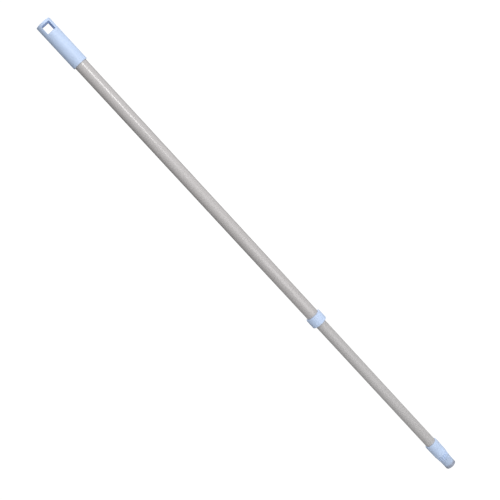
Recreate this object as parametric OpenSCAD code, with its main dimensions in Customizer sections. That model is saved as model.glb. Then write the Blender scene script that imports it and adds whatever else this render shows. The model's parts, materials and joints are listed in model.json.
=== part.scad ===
// Telescopic extension pole for a paint roller: two round tubes with a twist lock between them.
// The pole hangs on +Z from the middle of its hang hole, with the tip for the roller at the foot.
// Millimetres throughout.

/* [Tubes] */
// Outside diameter of the outer tube
outer_od = 22; // [20:0.5:28]
// How much thinner the inner tube is than the outer tube
tube_step = 3; // [2.8:0.1:3.4]
// Wall thickness of both tubes
tube_wall = 0.6; // [0.5:0.1:0.7]
// Length of the outer tube that shows between the handle and the collar
outer_show = 550; // [500:1:900]
// Length of the inner tube that shows below the collar
inner_show = 289.5; // [5:0.5:330]
// How much further the inner tube can be drawn out
draw_out = 190; // [60:1:200]
// Length of the inner tube that stays inside when the pole is fully drawn out
hold_len = 80; // [70:1:110]

/* [Hang handle] */
// Length of the handle
handle_len = 83; // [75:1:120]
// Wall of the handle around the tube
handle_wall = 2.25; // [2:0.05:4]
// Width of the hang hole
hang_w = 15.4; // [10:0.1:16]
// Length of the hang hole along the pole
hang_len = 15; // [10:0.5:20]
// Thickness of the end wall beyond the hang hole
hang_end = 4.2; // [2.5:0.1:5]
// Thickness of the web between the hang hole and the tube
hang_web = 4; // [3:0.5:8]

/* [Collar] */
// Length of the collar
collar_len = 18; // [16:0.5:40]
// Wall of the collar around the tube
collar_wall = 2.9; // [2.5:0.05:4]
// Length of the guide bush inside the outer tube
bush_len = 28; // [15:1:32]

/* [Tip] */
// Length of the sleeve of the tip
sleeve_len = 26.5; // [24:0.5:50]
// Wall of the sleeve at its top edge
sleeve_wall_top = 2.15; // [2.1:0.05:3]
// Wall of the sleeve at its shoulder
sleeve_wall_foot = 1.9; // [1.7:0.05:2.1]
// Length of the spigot that goes into the roller's handle
spigot_len = 28.5; // [24:0.5:45]
// Diameter of the spigot
spigot_d = 19.2; // [18:0.1:20]
// Number of ribs on the cone of the spigot
rib_n = 16; // [8:1:18]

/* [Twist lock] */
// Diameter of the lock bolt
bolt_d = 6; // [5:0.5:6]
// Thread pitch of the lock bolt
bolt_pitch = 1; // [0.8:0.1:1.2]
// Depth of the lock plug in the inner tube
plug_len = 30; // [28:1:50]
// Length of the expander sleeve
expander_len = 34; // [30:1:40]
// Height of each cone
cone_h = 8; // [7:0.5:9]

/* [Hidden] */
$fn = 96;

// Radii of the tubes
outer_r = outer_od / 2;
outer_bore_r = outer_r - tube_wall;
inner_r = (outer_od - tube_step) / 2;
inner_bore_r = inner_r - tube_wall;

// Clearances: running fits, and pieces that only pass each other
run_gap = 0.05;
pass_gap = 0.3;
through = 1;

// Levels along the pole, from the hang hole down
handle_top = hang_len / 2 + hang_end;
handle_mouth = handle_top - handle_len;
handle_r = outer_r + handle_wall;
outer_top = -hang_len / 2 - hang_web;
collar_top = handle_mouth - outer_show;
collar_foot = collar_top - collar_len;
collar_r = outer_r + collar_wall;
lip_h = 3;
bush_flange_h = 1.5;
outer_foot = collar_foot + lip_h + bush_flange_h;
tip_top = collar_foot - inner_show;
tip_step = tip_top - sleeve_len;
tip_foot = tip_step - spigot_len;
tube_seat = 3;
inner_foot = tip_step + tube_seat;
inner_top = collar_foot + draw_out + hold_len;

// Edges
edge_r = 0.8;
mouth_chamfer = 0.5;
collar_top_r = 1;
collar_foot_r = 1.2;

// Tip
sleeve_top_r = inner_r + sleeve_wall_top;
sleeve_foot_r = inner_r + sleeve_wall_foot;
sleeve_top_edge = 1;
step_edge = 0.3;
spigot_r = spigot_d / 2;
spigot_cone_h = 14.5;
spigot_root_r = sleeve_foot_r - step_edge;
spigot_chamfer = 1;
core_r = 7;
core_end = 3;
groove_w = 1.7;
groove_depth = 0.4;
groove_len = 11;
groove_inset = 0.8;

// Twist lock, measured up from the top end of the inner tube
flange_h = 3;
flange_r = outer_bore_r - pass_gap;
bolt_r = bolt_d / 2;
thread_depth = 0.55 * bolt_pitch;
hex_af = 10;
hex_h = 5;
head_h = 4;
washer_h = 1.2;
washer_r = 6;
jam_h = 3;
expander_gap = 1;
expander_foot = flange_h + expander_gap;
expander_top = expander_foot + expander_len;
expander_r = outer_bore_r - run_gap;
expander_bore_r = 6.3;
slot_n = 3;
slot_w = 2;
slot_end = 10;
cone_base_r = 8.6;
cone_tip_r = 6.6;
cone_gap = 0.08;
cone_slope = (cone_base_r - cone_tip_r) / cone_h;
ring_groove_w = 1.5;
ring_d = 1.2;
ring_z = (expander_foot + expander_top) / 2;
nut_rim_r = 9.6;
nut_rim_h = 6;
nut_rim_foot = expander_top + expander_gap;
key_w = 1.6;
key_out_r = 9.8;
key_h = 5;
insert_h = 5;
stop_gap = 3;
stop_foot = nut_rim_foot + nut_rim_h + stop_gap;
stop_nut_h = 6;
nylon_h = 1.6;
bolt_end = stop_foot + washer_h + stop_nut_h + 2 * bolt_pitch;
head_foot = -plug_len + 2;
head_top = head_foot + head_h;
pocket_gap = 0.1;
pin_d = 2.5;
pin_len = 5;
pin_z = -6;

// A round tube standing on z
module tube(r, bore, z, h) {
    translate([0, 0, z]) difference() {
        cylinder(r = r, h = h);
        translate([0, 0, -through]) cylinder(r = bore, h = h + 2 * through);
    }
}

// Half outline of a round bar from z to z + h, with its top edge and foot edge rounded
module rounded_outline(r, z, h, top_e, foot_e) {
    translate([0, z]) {
        square([r - max(top_e, foot_e), h]);
        translate([0, foot_e]) square([r, h - top_e - foot_e]);
        translate([r - top_e, h - top_e]) circle(top_e);
        translate([r - foot_e, foot_e]) circle(foot_e);
        translate([0, h / 2]) square([r - top_e, h / 2]);
        square([r - foot_e, h / 2]);
    }
}

// A hexagon bar with its corners chamfered at both ends, standing on z
module hex_bar(af, z, h) {
    corner_r = af / 2 / cos(30);
    bevel = corner_r - 0.97 * af / 2;
    drop = bevel * tan(30);
    translate([0, 0, z]) intersection() {
        cylinder(r = corner_r, h = h, $fn = 6);
        rotate_extrude() polygon([
            [0, 0], [corner_r - bevel, 0], [corner_r, drop],
            [corner_r, h - drop], [corner_r - bevel, h], [0, h]
        ]);
    }
}

// A hexagon nut on the bolt, standing on z
module nut(z, h) {
    difference() {
        hex_bar(hex_af, z, h);
        translate([0, 0, z - through]) cylinder(r = bolt_r + run_gap, h = h + 2 * through);
    }
}

// A flat washer on the bolt, standing on z
module washer(z) {
    tube(washer_r, bolt_r + run_gap, z, washer_h);
}

// The space of a cone that opens upward from z, grown outward by gap
module cone_space(z, gap) {
    reach = through;
    translate([0, 0, z]) cylinder(
        r1 = cone_tip_r + gap - cone_slope * reach,
        r2 = cone_base_r + gap + cone_slope * reach,
        h = cone_h + 2 * reach
    );
}

// Slots of the expander, opening at one end
module expander_slots(z, turn) {
    for (i = [0 : slot_n - 1])
        rotate([0, 0, turn + i * 360 / slot_n])
            translate([0, -slot_w / 2, z])
                cube([outer_r, slot_w, expander_len - slot_end + through]);
}

module outer_tube() {
    color("silver") tube(outer_r, outer_bore_r, outer_foot, outer_top - outer_foot);
}

module hang_handle() {
    color("lightsteelblue") difference() {
        rotate_extrude() rounded_outline(handle_r, handle_mouth, handle_len, edge_r, mouth_chamfer);
        translate([0, 0, handle_mouth - through])
            cylinder(r = outer_r, h = outer_top - handle_mouth + through);
        translate([-hang_w / 2, -handle_r - through, -hang_len / 2])
            cube([hang_w, 2 * (handle_r + through), hang_len]);
    }
}

module collar() {
    color("lightsteelblue") difference() {
        rotate_extrude() rounded_outline(collar_r, collar_foot, collar_len, collar_top_r, collar_foot_r);
        translate([0, 0, collar_foot + lip_h]) cylinder(r = outer_r, h = collar_len);
        translate([0, 0, collar_foot - through]) cylinder(r = inner_r + pass_gap, h = collar_len);
    }
}

module guide_bush() {
    bush_r = inner_r + run_gap;
    flange_foot = collar_foot + lip_h;
    color("white") difference() {
        union() {
            translate([0, 0, flange_foot]) cylinder(r = outer_r, h = bush_flange_h);
            translate([0, 0, outer_foot]) cylinder(r = outer_bore_r, h = bush_len);
        }
        translate([0, 0, flange_foot - through])
            cylinder(r = bush_r, h = bush_flange_h + bush_len + 2 * through);
    }
}

module inner_tube() {
    color("darkgray") difference() {
        tube(inner_r, inner_bore_r, inner_foot, inner_top - inner_foot);
        plug_pin_holes();
    }
}

module tip() {
    color("lightsteelblue") difference() {
        rotate_extrude() polygon([
            [0, tip_foot],
            [spigot_r - spigot_chamfer / 2, tip_foot],
            [spigot_r, tip_foot + spigot_chamfer],
            [spigot_r, tip_step - spigot_cone_h],
            [spigot_root_r, tip_step],
            [sleeve_foot_r, tip_step + step_edge],
            [sleeve_top_r, tip_top - sleeve_top_edge],
            [sleeve_top_r - sleeve_top_edge, tip_top],
            [0, tip_top]
        ]);
        translate([0, 0, inner_foot]) cylinder(r = inner_r, h = sleeve_len);
        translate([0, 0, tip_foot + core_end]) cylinder(r = core_r, h = spigot_len + sleeve_len);
        // grooves that leave the ribs between them
        for (i = [0 : rib_n - 1])
            rotate([0, 0, (i + 0.5) * 360 / rib_n])
                translate([spigot_r - groove_depth, -groove_w / 2, tip_step - groove_inset - groove_len])
                    cube([spigot_root_r, groove_w, groove_len]);
    }
}

// Two short radial holes, or pins, at the top end of the inner tube
module radial_pair(d, from_r, to_r) {
    for (side = [0, 180])
        rotate([0, 0, side])
            translate([from_r, 0, inner_top + pin_z])
                rotate([0, 90, 0]) cylinder(d = d, h = to_r - from_r);
}

module plug_pin_holes() {
    radial_pair(pin_d, inner_r - pin_len, inner_r + through);
}

module plug_pins() {
    color("gainsboro") radial_pair(pin_d, inner_r - pin_len, inner_r - run_gap);
}

module lock_plug() {
    color("dimgray") difference() {
        translate([0, 0, inner_top]) union() {
            translate([0, 0, -plug_len]) cylinder(r = inner_bore_r, h = plug_len);
            cylinder(r = flange_r, h = flange_h);
        }
        translate([0, 0, inner_top - plug_len - through])
            cylinder(r = bolt_r + run_gap, h = plug_len + flange_h + 2 * through);
        translate([0, 0, inner_top - plug_len - through])
            cylinder(r = washer_r + pocket_gap, h = head_top + washer_h + plug_len + through);
        plug_pin_holes();
    }
}

module lock_bolt() {
    thread_foot = flange_h;
    turns = floor((bolt_end - thread_foot) / bolt_pitch);
    color("gainsboro") translate([0, 0, inner_top]) {
        hex_bar(hex_af, head_foot, head_h);
        rotate_extrude() polygon([
            [0, head_top - through],
            [bolt_r, head_top - through],
            for (i = [0 : turns - 1]) each [
                [bolt_r, thread_foot + i * bolt_pitch],
                [bolt_r - thread_depth, thread_foot + (i + 0.5) * bolt_pitch]
            ],
            [bolt_r - thread_depth, thread_foot + turns * bolt_pitch],
            [0, thread_foot + turns * bolt_pitch]
        ]);
    }
}

module head_washer() {
    color("gainsboro") translate([0, 0, inner_top]) washer(head_top);
}

module lower_cone() {
    color("dimgray") translate([0, 0, inner_top]) difference() {
        translate([0, 0, flange_h]) cylinder(r1 = cone_base_r, r2 = cone_tip_r, h = cone_h);
        cylinder(r = bolt_r + run_gap, h = flange_h + cone_h + through);
    }
}

module cone_washer() {
    color("gainsboro") translate([0, 0, inner_top]) washer(flange_h + cone_h);
}

module jam_nut() {
    color("gainsboro") translate([0, 0, inner_top]) nut(flange_h + cone_h + washer_h, jam_h);
}

module expander() {
    color("white") translate([0, 0, inner_top]) difference() {
        tube(expander_r, expander_bore_r, expander_foot, expander_len);
        // lower cone, upside down
        mirror([0, 0, 1]) cone_space(-(flange_h + cone_h) - through, cone_gap);
        cone_space(nut_rim_foot - cone_h - through, cone_gap);
        expander_slots(expander_foot - through, 0);
        expander_slots(expander_foot + slot_end, 180 / slot_n);
        tube(outer_r, expander_r - ring_d, ring_z - ring_groove_w / 2, ring_groove_w);
    }
}

module drag_ring() {
    color("black") translate([0, 0, inner_top + ring_z])
        rotate_extrude() translate([expander_r - ring_d / 2, 0]) circle(d = ring_d);
}

module cone_nut() {
    color("dimgray") translate([0, 0, inner_top]) difference() {
        union() {
            translate([0, 0, nut_rim_foot - cone_h])
                cylinder(r1 = cone_tip_r, r2 = cone_base_r, h = cone_h);
            translate([0, 0, nut_rim_foot]) cylinder(r = nut_rim_r, h = nut_rim_h);
            for (i = [0 : slot_n - 1])
                rotate([0, 0, 180 / slot_n + i * 360 / slot_n])
                    translate([bolt_r + 1, -key_w / 2, nut_rim_foot - key_h])
                        cube([key_out_r - bolt_r - 1, key_w, key_h + through]);
        }
        translate([0, 0, nut_rim_foot - cone_h - through])
            cylinder(r = bolt_r + pass_gap, h = cone_h + nut_rim_h + 2 * through);
        translate([0, 0, nut_rim_foot + nut_rim_h - insert_h])
            cylinder(r = hex_af / 2 / cos(30), h = insert_h + through, $fn = 6);
    }
}

module nut_insert() {
    color("gainsboro") translate([0, 0, inner_top]) nut(nut_rim_foot + nut_rim_h - insert_h, insert_h);
}

module stop_washer() {
    color("gainsboro") translate([0, 0, inner_top]) washer(stop_foot);
}

module stop_nut() {
    foot = stop_foot + washer_h;
    collar_foot_z = foot + hex_h - through;
    color("gainsboro") translate([0, 0, inner_top]) difference() {
        union() {
            hex_bar(hex_af, foot, hex_h - through);
            translate([0, 0, collar_foot_z]) cylinder(d = 0.9 * hex_af, h = foot + stop_nut_h - collar_foot_z);
        }
        translate([0, 0, foot - through]) cylinder(r = bolt_r + run_gap, h = stop_nut_h + 2 * through);
        translate([0, 0, foot + stop_nut_h - nylon_h])
            cylinder(d = 0.8 * hex_af, h = nylon_h + through);
    }
}

module nylon_ring() {
    foot = stop_foot + washer_h + stop_nut_h - nylon_h;
    color("white") translate([0, 0, inner_top]) tube(0.4 * hex_af, bolt_r + run_gap, foot, nylon_h);
}

outer_tube();
hang_handle();
collar();
guide_bush();
expander();
drag_ring();
cone_nut();
nut_insert();
inner_tube();
tip();
lock_plug();
plug_pins();
lock_bolt();
head_washer();
lower_cone();
cone_washer();
jam_nut();
stop_washer();
stop_nut();
nylon_ring();
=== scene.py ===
"""The looks of a telescopic extension pole: moulded handle, collar and tip, coated tubes, twist lock."""

import json
import math

import bmesh
import bpy
from mathutils import Matrix, Vector


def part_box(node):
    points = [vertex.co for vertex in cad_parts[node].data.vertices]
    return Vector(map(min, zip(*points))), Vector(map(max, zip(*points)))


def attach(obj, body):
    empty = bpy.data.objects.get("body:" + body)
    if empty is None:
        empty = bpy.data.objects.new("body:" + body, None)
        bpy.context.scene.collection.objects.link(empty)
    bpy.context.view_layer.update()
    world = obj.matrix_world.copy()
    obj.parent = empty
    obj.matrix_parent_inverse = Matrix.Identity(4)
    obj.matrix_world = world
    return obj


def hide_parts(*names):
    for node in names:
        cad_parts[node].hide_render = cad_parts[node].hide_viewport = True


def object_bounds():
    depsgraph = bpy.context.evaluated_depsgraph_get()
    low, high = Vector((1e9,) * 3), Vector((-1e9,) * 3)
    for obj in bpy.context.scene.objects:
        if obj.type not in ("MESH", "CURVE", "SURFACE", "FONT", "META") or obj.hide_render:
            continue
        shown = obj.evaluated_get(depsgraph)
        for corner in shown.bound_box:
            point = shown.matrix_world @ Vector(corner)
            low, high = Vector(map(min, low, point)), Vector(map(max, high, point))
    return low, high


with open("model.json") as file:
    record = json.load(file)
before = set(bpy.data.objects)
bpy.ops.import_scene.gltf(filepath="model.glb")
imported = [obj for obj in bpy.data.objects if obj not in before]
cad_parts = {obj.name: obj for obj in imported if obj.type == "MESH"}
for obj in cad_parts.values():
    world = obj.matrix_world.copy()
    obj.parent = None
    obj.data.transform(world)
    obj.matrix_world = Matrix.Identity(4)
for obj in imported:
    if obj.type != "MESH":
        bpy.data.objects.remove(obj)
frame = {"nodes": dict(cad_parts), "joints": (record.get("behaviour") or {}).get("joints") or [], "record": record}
cad_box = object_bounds()

MM = 0.001

# Camera: how the pole is seen
CAMERA_AZIMUTH = math.radians(-9.7)
CAMERA_ELEVATION = math.radians(10)
CAMERA_ROLL = math.radians(42.75)
CAMERA_DISTANCE = 1.55
CAMERA_LENS = 68.5
SENSOR_WIDTH = 36.0
AIM_Z = -0.4693
AIM_ASIDE = -0.003

# Handle
HANDLE_HOLE_WIDTH = 15.4 * MM
HANDLE_HOLE_LENGTH = 15 * MM
HANDLE_WEB = 4 * MM
HANDLE_TOP_EDGE = 0.8 * MM
MOULDED_EDGE = 0.5 * MM
HOLE_COLUMNS = 24
SIDE_COLUMNS = 36

# Collar
COLLAR_LIP = 3 * MM
COLLAR_TOP_EDGE = 1 * MM
COLLAR_FOOT_EDGE = 1.2 * MM
COLLAR_GAP = 0.3 * MM
LIP_EDGE = 0.4 * MM
COLLAR_COLUMNS = 128

# Tip
SLEEVE_LENGTH = 26.5 * MM
SLEEVE_FOOT_RADIUS = 11.4 * MM
SLEEVE_TOP_EDGE = 1 * MM
STEP_EDGE = 0.3 * MM
SPIGOT_RADIUS = 9.6 * MM
SPIGOT_CONE = 14.5 * MM
SPIGOT_CHAMFER = 1 * MM
CORE_RADIUS = 7 * MM
CORE_END = 3 * MM
RIBS = 16
GROOVE_WIDTH = 1.7 * MM
GROOVE_DEPTH = 0.4 * MM
GROOVE_LENGTH = 11 * MM
GROOVE_INSET = 0.8 * MM
GROOVE_SOFTNESS = 1 * MM
RIB_COLUMNS = 18

# Painted shade on the tip: its colour darkened, and its finish dulled, below the middle of its cone, and a darker
# band painted as shade at its foot
SHADE_AND_DULL_BLEND = 4 * MM
SPIGOT_PAINTED_SHADE = 0.81
WORN_ROUGHNESS = 0.1
FOOT_SHADE_HEIGHT = 8 * MM

# Tubes
TUBE_WALL = 0.6 * MM
TUBE_EDGE = 0.1 * MM
TUBE_COLUMNS = 144

# Shading and joining of meshes
SHARP_ANGLE = math.radians(40)
BEVELLED_ANGLE = math.radians(50)
WELD_DISTANCE = 1e-7

# Colours
PALE_BLUE = (0.5, 0.62, 0.84)
OUTER_GREY = (0.462, 0.445, 0.446)
INNER_GREY = (0.45, 0.44, 0.442)
NATURAL_WHITE = (0.8, 0.8, 0.76)
DARK_GREY = (0.05, 0.05, 0.055)
ZINC, PALE_ZINC = (0.5, 0.51, 0.53), (0.66, 0.66, 0.65)
RUBBER, DUSTY_RUBBER = (0.018, 0.018, 0.02), (0.045, 0.045, 0.045)
FOOT_SHADE_COLOUR = (0.27, 0.29, 0.36)
FLOOR_GREY = (0.6, 0.6, 0.6)
LAMP_WHITE = (1, 0.995, 0.985)

# Gloss of the plastic of the handle, collar and tip
PLASTIC_ROUGHNESS = 0.5
PLASTIC_COAT = 0.25

# Light: azimuths and heights in degrees, the rest in metres and watts
SEEN_LIGHT = 1.05
LIGHT_SIDE = 29
LIGHT_HEIGHT = 25
SHADE_START = -0.5
SHADE_LIGHT = 0.12
FULL_LIGHT = 1.15
STRIP_SIDE = 19.5
STRIP_DISTANCE = 1.5
STRIP_SIZE = (0.46, 0.7)
STRIP_LEVEL = 0.1
STRIP_POWER = 6.7
FILL_SIDE = 12
FILL_DISTANCE = 1.3
FILL_SIZE = (1.2, 1.2)
FILL_LEVEL = -1.25
FILL_POWER = 6.4
BACK_SIDE = 160
BACK_DISTANCE = 1.2
BACK_LEVEL = 0.6
BACK_AIM = -0.55
BACK_SIZE = (1, 0.8)
BACK_POWER = 13

# Stage
FLOOR_DROP = 0.05
FLOOR_SIZE = 6.0
FLOOR_ROUGHNESS = 0.9


# ---------------------------------------------------------------- meshes


def smooth_shaded(mesh):
    """The mesh shaded smooth, with its sharp edges kept."""
    mesh.shade_smooth()
    mesh.set_sharp_from_angle(angle=SHARP_ANGLE)
    return mesh


def finished(name, mesh):
    """An object from a mesh."""
    piece = bpy.data.objects.new(name, smooth_shaded(mesh))
    bpy.context.collection.objects.link(piece)
    return piece


def mesh_from(name, vertices, faces, weld=False):
    """A mesh with its faces turned outward. weld joins the vertices that coincide."""
    mesh = bpy.data.meshes.new(name)
    mesh.from_pydata(vertices, [], faces)
    bm = bmesh.new()
    bm.from_mesh(mesh)
    if weld:
        bmesh.ops.remove_doubles(bm, verts=bm.verts, dist=WELD_DISTANCE)
    bmesh.ops.recalc_face_normals(bm, faces=bm.faces)
    bm.to_mesh(mesh)
    bm.free()
    return mesh


def arc(centre, radius, start, end, steps=6):
    """Points (r, z) on an arc, with angles in degrees counted from +r towards +z."""
    points = []
    for i in range(steps + 1):
        a = math.radians(start + (end - start) * i / steps)
        points.append((centre[0] + radius * math.cos(a), centre[1] + radius * math.sin(a)))
    return points


def line(start, end, steps):
    """Points (r, z) after start, up to end."""
    return [
        (start[0] + (end[0] - start[0]) * i / steps, start[1] + (end[1] - start[1]) * i / steps)
        for i in range(1, steps + 1)
    ]


def even_angles(count):
    """Angles in radians, evenly spaced round the pole."""
    return [2 * math.pi * i / count for i in range(count)]


def revolved(outline, angles, radius_at=None):
    """Vertices, faces and rings of an outline (r, z) turned about Z.

    A point on the axis becomes one vertex. radius_at(r, z, angle) can change a point's radius.
    """
    vertices, rings = [], []
    for r, z in outline:
        if r == 0:
            rings.append([len(vertices)])
            vertices.append((0, 0, z))
            continue
        rings.append(list(range(len(vertices), len(vertices) + len(angles))))
        for a in angles:
            reach = radius_at(r, z, a) if radius_at else r
            vertices.append((reach * math.sin(a), -reach * math.cos(a), z))
    faces = []
    for low, high in zip(rings, rings[1:]):
        for i in range(len(angles)):
            j = (i + 1) % len(angles)
            if len(low) == 1:
                faces.append((low[0], high[j], high[i]))
            elif len(high) == 1:
                faces.append((low[i], low[j], high[0]))
            else:
                faces.append((low[i], low[j], high[j], high[i]))
    return vertices, faces, rings


# ---------------------------------------------------------------- pieces


def make_handle():
    """The hang handle: a round cap with a rectangular hole right through its closed end."""
    low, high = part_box("hang_handle")
    radius, top, mouth = high.x, high.z, low.z
    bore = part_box("outer_tube")[1].x
    socket_end = -HANDLE_HOLE_LENGTH / 2 - HANDLE_WEB
    hole_top, hole_foot = HANDLE_HOLE_LENGTH / 2, -HANDLE_HOLE_LENGTH / 2
    half_angle = math.asin(HANDLE_HOLE_WIDTH / 2 / radius)

    # columns over the hole's two mouths, and beside them
    angles = []
    mouth_angle, side_angle = 2 * half_angle, math.pi - 2 * half_angle
    for centre in (0, math.pi):
        angles += [centre - half_angle + mouth_angle * i / HOLE_COLUMNS for i in range(HOLE_COLUMNS)]
        angles += [centre + half_angle + side_angle * i / SIDE_COLUMNS for i in range(SIDE_COLUMNS)]

    outline = [(0, socket_end), (bore, socket_end)]
    outline += line((bore, socket_end), (bore, mouth + MOULDED_EDGE), 8)
    outline += arc((bore + MOULDED_EDGE, mouth + MOULDED_EDGE), MOULDED_EDGE, 180, 270, 4)[1:]
    outline += arc((radius - MOULDED_EDGE, mouth + MOULDED_EDGE), MOULDED_EDGE, -90, 0, 4)
    outline += line((radius, mouth + MOULDED_EDGE), (radius, hole_foot), 16)
    foot_ring = len(outline) - 1
    outline += line((radius, hole_foot), (radius, hole_top), 8)
    top_ring = len(outline) - 1
    outline += arc((radius - HANDLE_TOP_EDGE, top - HANDLE_TOP_EDGE), HANDLE_TOP_EDGE, 0, 90, 6)
    outline += [(0, top)]
    vertices, faces, rings = revolved(outline, angles)

    # the outer faces over the two mouths go, and four walls join the mouths
    period = HOLE_COLUMNS + SIDE_COLUMNS
    open_columns = set(range(HOLE_COLUMNS)) | set(range(period, period + HOLE_COLUMNS))
    gone = set()
    for level in range(foot_ring, top_ring):
        for i in open_columns:
            j = (i + 1) % len(angles)
            gone.add((rings[level][i], rings[level][j], rings[level + 1][j], rings[level + 1][i]))
    faces = [f for f in faces if f not in gone]
    for level in (foot_ring, top_ring):
        for i in range(HOLE_COLUMNS):
            opposite = period + HOLE_COLUMNS - i
            faces.append((
                rings[level][i], rings[level][i + 1],
                rings[level][opposite - 1], rings[level][opposite],
            ))
    for front, back in ((0, period + HOLE_COLUMNS), (HOLE_COLUMNS, period)):
        for level in range(foot_ring, top_ring):
            faces.append((
                rings[level][front], rings[level + 1][front],
                rings[level + 1][back], rings[level][back],
            ))
    piece = finished("handle_cap", mesh_from("handle_cap", vertices, faces))
    bevel = piece.modifiers.new("edges", "BEVEL")
    bevel.width = MOULDED_EDGE
    bevel.segments = 3
    bevel.limit_method = "ANGLE"
    bevel.angle_limit = BEVELLED_ANGLE
    bake_modifiers(piece)
    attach(piece, "outer_pole")
    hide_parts("hang_handle")
    return piece


def bake_modifiers(piece):
    """Applies a piece's modifiers to its mesh."""
    graph = bpy.context.evaluated_depsgraph_get()
    mesh = bpy.data.meshes.new_from_object(piece.evaluated_get(graph))
    piece.modifiers.clear()
    piece.data = smooth_shaded(mesh)


def make_tube(name, node, body):
    """A thin-walled tube with its end edges broken."""
    low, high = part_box(node)
    radius, foot, top = high.x, low.z, high.z
    bore = radius - TUBE_WALL
    outline = [(bore, foot)]
    outline += arc((radius - TUBE_EDGE, foot + TUBE_EDGE), TUBE_EDGE, -90, 0, 2)
    outline += line((radius, foot + TUBE_EDGE), (radius, top - TUBE_EDGE), 24)
    outline += arc((radius - TUBE_EDGE, top - TUBE_EDGE), TUBE_EDGE, 0, 90, 2)[1:]
    outline += [(bore, top)]
    outline += line((bore, top), (bore, foot), 24)
    vertices, faces, _ = revolved(outline, even_angles(TUBE_COLUMNS))
    piece = finished(name, mesh_from(name, vertices, faces, weld=True))
    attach(piece, body)
    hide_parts(node)
    return piece


def make_collar():
    """The collar: a plain ring over the foot of the outer tube, with a lip round the inner tube."""
    low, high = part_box("collar")
    radius, foot, top = high.x, low.z, high.z
    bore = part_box("outer_tube")[1].x
    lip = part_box("inner_tube")[1].x + COLLAR_GAP
    seat = foot + COLLAR_LIP
    outline = [(lip, seat)]
    outline += line((lip, seat), (lip, foot + LIP_EDGE), 2)
    outline += arc((lip + LIP_EDGE, foot + LIP_EDGE), LIP_EDGE, 180, 270, 4)[1:]
    outline += arc(
        (radius - COLLAR_FOOT_EDGE, foot + COLLAR_FOOT_EDGE), COLLAR_FOOT_EDGE, -90, 0, 8
    )
    outline += arc((radius - COLLAR_TOP_EDGE, top - COLLAR_TOP_EDGE), COLLAR_TOP_EDGE, 0, 90, 4)
    outline += [(bore, top), (bore, seat), (lip, seat)]
    vertices, faces, _ = revolved(outline, even_angles(COLLAR_COLUMNS))
    piece = finished("collar_ring", mesh_from("collar_ring", vertices, faces, weld=True))
    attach(piece, "outer_pole")
    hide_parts("collar")
    return piece


def make_tip():
    """The tip: a sleeve over the inner tube, a shoulder, and a spigot with ribs on its cone."""
    low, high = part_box("tip")
    top, foot, sleeve_top_radius = high.z, low.z, high.x
    step = top - SLEEVE_LENGTH
    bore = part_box("inner_tube")[1].x
    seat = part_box("inner_tube")[0].z
    cone_foot = step - SPIGOT_CONE
    groove_top = step - GROOVE_INSET
    groove_foot = groove_top - GROOVE_LENGTH

    outline = [(0, foot), (SPIGOT_RADIUS / 2, foot)]
    outline += arc(
        (SPIGOT_RADIUS - SPIGOT_CHAMFER, foot + SPIGOT_CHAMFER), SPIGOT_CHAMFER, -90, 0, 8
    )
    outline += line(outline[-1], (SPIGOT_RADIUS, cone_foot), 12)
    outline += line(outline[-1], (SLEEVE_FOOT_RADIUS - STEP_EDGE, step), 48)[:-1]
    outline += arc((SLEEVE_FOOT_RADIUS - STEP_EDGE, step + STEP_EDGE), STEP_EDGE, -90, 0, 5)
    outline += line(outline[-1], (sleeve_top_radius, top - SLEEVE_TOP_EDGE), 10)[:-1]
    outline += arc(
        (sleeve_top_radius - SLEEVE_TOP_EDGE, top - SLEEVE_TOP_EDGE), SLEEVE_TOP_EDGE, 0, 90, 6
    )
    outline += [(bore, top), (bore, seat), (CORE_RADIUS, seat), (CORE_RADIUS, foot + CORE_END)]
    outline += [(0, foot + CORE_END)]

    def grooved(r, z, angle):
        """The radius at a point of the cone, lower in the grooves between the ribs."""
        if not groove_foot < z < groove_top:
            return r
        spacing = 2 * math.pi / RIBS
        off = abs((angle / spacing) % 1 - 0.5) * spacing * r
        across = smooth(1.5 - off / (GROOVE_WIDTH / 2))
        along = smooth(min(groove_top - z, z - groove_foot) / GROOVE_SOFTNESS)
        return r - (r - SPIGOT_RADIUS + GROOVE_DEPTH) * across * along

    vertices, faces, _ = revolved(outline, even_angles(RIBS * RIB_COLUMNS), grooved)
    piece = finished("tip_adapter", mesh_from("tip_adapter", vertices, faces))
    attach(piece, "inner_pole")
    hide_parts("tip")
    return piece


def smooth(x):
    """An S-shaped step from 0 to 1."""
    x = min(max(x, 0.0), 1.0)
    return x * x * (3 - 2 * x)


# ---------------------------------------------------------------- materials


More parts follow.
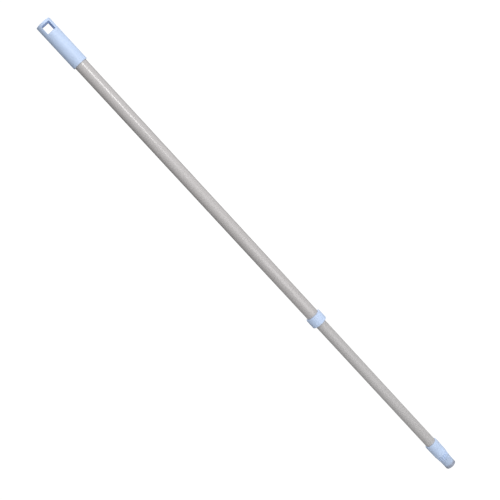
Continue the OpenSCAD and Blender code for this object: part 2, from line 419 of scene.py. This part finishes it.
class Surface:
    """A principled material under construction, laid out in object space."""

    def __init__(self, name):
        self.material = bpy.data.materials.new(name)
        self.material.use_nodes = True
        self.tree = self.material.node_tree
        self.shader = self.tree.nodes["Principled BSDF"]
        self.place = self.tree.nodes.new("ShaderNodeTexCoord").outputs["Object"]

    def node(self, kind, **settings):
        """A new node of a kind, with its settings."""
        made = self.tree.nodes.new("ShaderNode" + kind)
        for key, value in settings.items():
            setattr(made, key, value)
        return made

    def link(self, source, target):
        self.tree.links.new(source, target)

    def stretched(self, scale):
        """Object coordinates scaled along each axis."""
        mapping = self.node("Mapping")
        mapping.inputs["Scale"].default_value = scale
        self.link(self.place, mapping.inputs["Vector"])
        return mapping.outputs["Vector"]

    def noise(self, scale, detail=3.0, roughness=0.5, stretch=(1, 1, 1)):
        """Noise with this many features a metre."""
        made = self.node("TexNoise")
        made.inputs["Scale"].default_value = scale
        made.inputs["Detail"].default_value = detail
        made.inputs["Roughness"].default_value = roughness
        self.link(self.stretched(stretch), made.inputs["Vector"])
        return made.outputs["Fac"]

    def along(self, start, end):
        """A factor that goes from 0 at one level of the pole to 1 at another."""
        split = self.node("SeparateXYZ")
        self.link(self.place, split.inputs[0])
        return self.ranged(split.outputs["Z"], 0, 1, start, end)

    def ranged(self, value, low, high, from_low=0.3, from_high=0.7):
        """A value stretched from one range to another. The default range is a noise's."""
        made = self.node("MapRange")
        made.inputs["From Min"].default_value = from_low
        made.inputs["From Max"].default_value = from_high
        made.inputs["To Min"].default_value = low
        made.inputs["To Max"].default_value = high
        self.link(value, made.inputs["Value"])
        return made.outputs["Result"]

    def mixed(self, factor, first, second):
        """The first colour where the factor is 0, the second where it is 1."""
        made = self.node("Mix", data_type="RGBA")
        self.link(factor, made.inputs[0])
        for socket, value in ((made.inputs[6], first), (made.inputs[7], second)):
            if isinstance(value, tuple):
                socket.default_value = (*value, 1)
            else:
                self.link(value, socket)
        return made.outputs[2]

    def joined(self, operation, first, second):
        """Two values under a Math operation."""
        made = self.node("Math", operation=operation)
        for socket, value in zip(made.inputs, (first, second)):
            if isinstance(value, (int, float)):
                socket.default_value = value
            else:
                self.link(value, socket)
        return made.outputs[0]

    def bumped(self, height, distance, strength, under=None):
        """A normal from a height, laid over the normal under it."""
        made = self.node("Bump")
        made.inputs["Strength"].default_value = strength
        made.inputs["Distance"].default_value = distance
        self.link(height, made.inputs["Height"])
        if under is not None:
            self.link(under, made.inputs["Normal"])
        return made.outputs["Normal"]

    def finish(self, color, roughness, normal, **scalars):
        """The material, with its maps linked and the rest set on the shader's own sockets."""
        self.link(color, self.shader.inputs["Base Color"])
        self.link(roughness, self.shader.inputs["Roughness"])
        self.link(normal, self.shader.inputs["Normal"])
        for key, value in scalars.items():
            self.shader.inputs[key.replace("_", " ")].default_value = value
        return self.material


def coated_steel(name, color, roughness, coat, rub_and_shade):
    """Semi-gloss coating on a drawn tube: orange peel, draw lines, and fine scuffs along the tube."""
    s = Surface(name)
    clouds = s.ranged(s.noise(18, 4, stretch=(1, 1, 0.3)), 0, 1)
    drawn = s.ranged(s.noise(900, 2, stretch=(1, 1, 0.01)), 0, 1)
    scuffs = s.ranged(s.noise(1600, 4, 0.7, stretch=(1, 1, 0.015)), 0, 1, 0.62, 0.75)
    patches = s.ranged(s.noise(25, 2, stretch=(1, 1, 0.4)), 0, 1, 0.45, 0.7)
    wear_and_shade = s.joined("MULTIPLY", scuffs, patches)
    darker = tuple(c * 0.95 for c in color)
    lighter = tuple(min(c * 1.03, 1) for c in color)
    rub = tuple(min(c * (1 + 0.12 * rub_and_shade), 1) for c in color)
    base = s.mixed(clouds, darker, lighter)
    base = s.mixed(s.joined("MULTIPLY", drawn, 0.18), base, darker)
    base = s.mixed(s.joined("MULTIPLY", wear_and_shade, rub_and_shade), base, rub)
    sheen = s.ranged(clouds, roughness - 0.03, roughness + 0.04, 0, 1)
    rough = s.joined("ADD", sheen, s.joined("MULTIPLY", wear_and_shade, 0.12))
    peel = s.bumped(s.noise(700, 2), 0.00001, 0.2)
    normal = s.bumped(drawn, 0.000003, 0.3, under=peel)
    return s.finish(base, rough, normal, Coat_Weight=coat, Coat_IOR=1.55, Coat_Roughness=0.2)


def moulded_plastic(name, color, roughness, coat=0.0, wear_and_shade=None):
    """Moulded plastic: faint flow clouds, a fine grain, and a few handling marks.

    The last argument, if given, is two levels: where a painted shade and a duller finish begin, a little below the
    cone's middle, and the foot, just above which a darker band is painted as shade.
    """
    s = Surface(name)
    clouds = s.ranged(s.noise(60, 4), 0, 1)
    specks = s.ranged(s.noise(1400, 2), 0, 1, 0.68, 0.78)
    marks = s.ranged(s.noise(240, 5, 0.7, stretch=(1, 1, 0.35)), 0, 1, 0.6, 0.72)
    darker = tuple(c * 0.955 for c in color)
    lighter = tuple(min(c * 1.03, 1) for c in color)
    dull = tuple(c * 0.9 + 0.03 for c in color)
    base = s.mixed(clouds, darker, lighter)
    base = s.mixed(s.joined("MULTIPLY", specks, 0.12), base, dull)
    base = s.mixed(s.joined("MULTIPLY", marks, 0.15), base, dull)
    sheen = s.ranged(clouds, roughness - 0.04, roughness + 0.04, 0, 1)
    rough = s.joined("ADD", sheen, s.joined("MULTIPLY", marks, 0.12))
    if wear_and_shade:
        level, foot = wear_and_shade
        patchy = s.ranged(s.noise(350, 3, stretch=(1, 1, 0.3)), 0.8, 1.0)
        # painted shade: below the cone's middle the colour is darkened as shade, and the finish made rougher
        rub_and_shade = s.joined("MULTIPLY", s.along(level + SHADE_AND_DULL_BLEND, level - SHADE_AND_DULL_BLEND), patchy)
        base = s.mixed(rub_and_shade, base, tuple(c * SPIGOT_PAINTED_SHADE for c in color))
        # painted shade: a band just above the foot is painted darker as shade
        low = s.along(foot + FOOT_SHADE_HEIGHT, foot + FOOT_SHADE_HEIGHT / 2)
        painted_foot_shade = s.joined("MULTIPLY", low, patchy)
        base = s.mixed(painted_foot_shade, base, FOOT_SHADE_COLOUR)
        rough = s.joined("ADD", rough, s.joined("MULTIPLY", rub_and_shade, WORN_ROUGHNESS))
    fine = s.bumped(s.noise(2600, 2), 0.000005, 0.4)
    normal = s.bumped(s.noise(90, 2), 0.00005, 0.15, under=fine)
    return s.finish(base, rough, normal, Coat_Weight=coat, Coat_Roughness=0.45)


def zinc_steel(name):
    """Bright zinc on machined steel: fine turning marks and a patchy bloom."""
    s = Surface(name)
    turned = s.ranged(s.noise(500, 3, stretch=(1, 1, 12)), 0, 1)
    bloom = s.ranged(s.noise(300, 4), 0, 1)
    base = s.mixed(bloom, ZINC, PALE_ZINC)
    sheen = s.ranged(turned, 0.28, 0.4, 0, 1)
    rough = s.joined("ADD", sheen, s.joined("MULTIPLY", bloom, 0.08))
    normal = s.bumped(turned, 0.00001, 0.4)
    return s.finish(base, rough, normal, Metallic=1.0)


def matt_rubber(name):
    """Black rubber with a dusty bloom."""
    s = Surface(name)
    bloom = s.ranged(s.noise(700, 4), 0, 1)
    base = s.mixed(bloom, RUBBER, DUSTY_RUBBER)
    rough = s.ranged(bloom, 0.6, 0.8, 0, 1)
    normal = s.bumped(s.noise(3000, 2), 0.00002, 0.4)
    return s.finish(base, rough, normal)


def dress(materials, pieces):
    """Gives each CAD node that stays the material of its slot, and each made piece its own."""
    slot_of = {entry["node"]: entry["material_slot"] for entry in frame["record"]["subparts"]}
    for name, node in frame["nodes"].items():
        node.data.materials.clear()
        node.data.materials.append(materials[slot_of[name]])
    for piece, material in pieces:
        piece.data.materials.clear()
        piece.data.materials.append(material)


# ---------------------------------------------------------------- stage


def make_camera():
    """The camera, aimed at the pole's middle and rolled so that the pole lies slanted."""
    data = bpy.data.cameras.new("camera")
    data.lens = CAMERA_LENS
    data.sensor_width = SENSOR_WIDTH
    camera = bpy.data.objects.new("camera", data)
    bpy.context.collection.objects.link(camera)
    away = Vector((
        math.sin(CAMERA_AZIMUTH) * math.cos(CAMERA_ELEVATION),
        -math.cos(CAMERA_AZIMUTH) * math.cos(CAMERA_ELEVATION),
        math.sin(CAMERA_ELEVATION),
    ))
    pole_up = (Vector((0, 0, 1)) - away * away.z).normalized()
    pole_right = pole_up.cross(away)
    turn = Matrix.Rotation(-CAMERA_ROLL, 3, away)
    aim = Vector((0, 0, AIM_Z)) + AIM_ASIDE * pole_right
    basis = Matrix((turn @ pole_right, turn @ pole_up, away)).transposed()
    camera.matrix_world = Matrix.Translation(aim + CAMERA_DISTANCE * away) @ basis.to_4x4()
    bpy.context.scene.camera = camera


def make_floor():
    """A pale lit table under the hanging pole, low enough for the pole drawn right out."""
    reach = next(j["range_m"][1] for j in frame["joints"] if j["name"] == "extension")
    level = cad_box[0].z - reach - FLOOR_DROP
    half = FLOOR_SIZE / 2
    corners = [(x * half, y * half, level) for x, y in ((-1, -1), (1, -1), (1, 1), (-1, 1))]
    floor = finished("floor", mesh_from("floor", corners, [(0, 1, 2, 3)]))
    material = bpy.data.materials.new("floor")
    material.use_nodes = True
    tree = material.node_tree
    shader = tree.nodes["Principled BSDF"]
    shader.inputs["Base Color"].default_value = (*FLOOR_GREY, 1)
    shader.inputs["Roughness"].default_value = FLOOR_ROUGHNESS
    seen = tree.nodes.new("ShaderNodeEmission")
    seen.inputs["Strength"].default_value = SEEN_LIGHT
    show_to_camera(tree, shader.outputs[0], seen.outputs[0], tree.nodes["Material Output"])
    floor.data.materials.append(material)


def make_world():
    """A plain white surround that lights the pole softly from one side."""
    world = bpy.data.worlds.new("studio")
    bpy.context.scene.world = world
    world.use_nodes = True
    tree = world.node_tree
    seen = tree.nodes["Background"]
    seen.inputs["Color"].default_value = (1, 1, 1, 1)
    seen.inputs["Strength"].default_value = SEEN_LIGHT
    lit = tree.nodes.new("ShaderNodeBackground")
    lit.inputs["Color"].default_value = (*LAMP_WHITE, 1)

    direction = tree.nodes.new("ShaderNodeTexCoord").outputs["Generated"]
    towards = tree.nodes.new("ShaderNodeVectorMath")
    towards.operation = "DOT_PRODUCT"
    towards.inputs[1].default_value = sky_direction(LIGHT_SIDE, LIGHT_HEIGHT)
    tree.links.new(direction, towards.inputs[0])
    ramp = tree.nodes.new("ShaderNodeMapRange")
    ramp.inputs["From Min"].default_value = SHADE_START
    ramp.inputs["From Max"].default_value = 1
    ramp.inputs["To Min"].default_value = SHADE_LIGHT
    ramp.inputs["To Max"].default_value = FULL_LIGHT
    tree.links.new(towards.outputs["Value"], ramp.inputs["Value"])
    tree.links.new(ramp.outputs["Result"], lit.inputs["Strength"])

    show_to_camera(tree, lit.outputs[0], seen.outputs[0], tree.nodes["World Output"])


def show_to_camera(tree, lit, seen, output):
    """Lets the camera see one shader of the stage, while the object is lit by the other."""
    mix = tree.nodes.new("ShaderNodeMixShader")
    path = tree.nodes.new("ShaderNodeLightPath")
    tree.links.new(path.outputs["Is Camera Ray"], mix.inputs[0])
    tree.links.new(lit, mix.inputs[1])
    tree.links.new(seen, mix.inputs[2])
    tree.links.new(mix.outputs[0], output.inputs["Surface"])


def sky_direction(azimuth, height):
    """A unit vector towards an azimuth, counted from -Y towards +X, and a height, in degrees."""
    a, h = math.radians(azimuth), math.radians(height)
    return Vector((math.sin(a) * math.cos(h), -math.cos(a) * math.cos(h), math.sin(h)))


def make_light(name, side, distance, level, size, power, aim=None):
    """A soft box at a level beside the pole, facing its axis at the level aim or at its own.

    size is the width and height of the box.
    """
    data = bpy.data.lights.new(name, "AREA")
    data.shape = "RECTANGLE"
    data.size, data.size_y = size
    data.energy = power
    light = bpy.data.objects.new(name, data)
    bpy.context.collection.objects.link(light)
    light.location = distance * sky_direction(side, 0) + Vector((0, 0, level))
    towards = Vector((0, 0, level if aim is None else aim)) - light.location
    light.rotation_mode = "QUATERNION"
    light.rotation_quaternion = towards.to_track_quat("-Z", "Y")


# ---------------------------------------------------------------- the scene

make_camera()
make_floor()
make_world()
make_light("strip", STRIP_SIDE, STRIP_DISTANCE, STRIP_LEVEL, STRIP_SIZE, STRIP_POWER)
make_light("fill", FILL_SIDE, FILL_DISTANCE, FILL_LEVEL, FILL_SIZE, FILL_POWER)
make_light("back", BACK_SIDE, BACK_DISTANCE, BACK_LEVEL, BACK_SIZE, BACK_POWER, BACK_AIM)

handle = make_handle()
collar = make_collar()
tip = make_tip()
outer = make_tube("outer_tube_drawn", "outer_tube", "outer_pole")
inner = make_tube("inner_tube_drawn", "inner_tube", "inner_pole")
materials = {
    "outer_coating": coated_steel("outer_coating", OUTER_GREY, roughness=0.4, coat=1.0, rub_and_shade=0.4),
    "inner_coating": coated_steel("inner_coating", INNER_GREY, roughness=0.45, coat=0.4, rub_and_shade=1.0),
    "blue_plastic": moulded_plastic("blue_plastic", PALE_BLUE, PLASTIC_ROUGHNESS, PLASTIC_COAT),
    "white_plastic": moulded_plastic("white_plastic", NATURAL_WHITE, roughness=0.4),
    "dark_plastic": moulded_plastic("dark_plastic", DARK_GREY, roughness=0.45),
    "zinc_steel": zinc_steel("zinc_steel"),
    "black_rubber": matt_rubber("black_rubber"),
}
tip_low, tip_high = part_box("tip")
cone_middle = tip_high.z - SLEEVE_LENGTH - SPIGOT_CONE / 2
# the tip's plastic, with painted shade on the lower cone and at the foot
tip_plastic = moulded_plastic(
    "blue_plastic_tip", PALE_BLUE, PLASTIC_ROUGHNESS, PLASTIC_COAT, wear_and_shade=(cone_middle, tip_low.z)
)
dress(materials, [
    (handle, materials["blue_plastic"]),
    (collar, materials["blue_plastic"]),
    (tip, tip_plastic),
    (outer, materials["outer_coating"]),
    (inner, materials["inner_coating"]),
])
bpy.context.scene.view_settings.view_transform = "Standard"
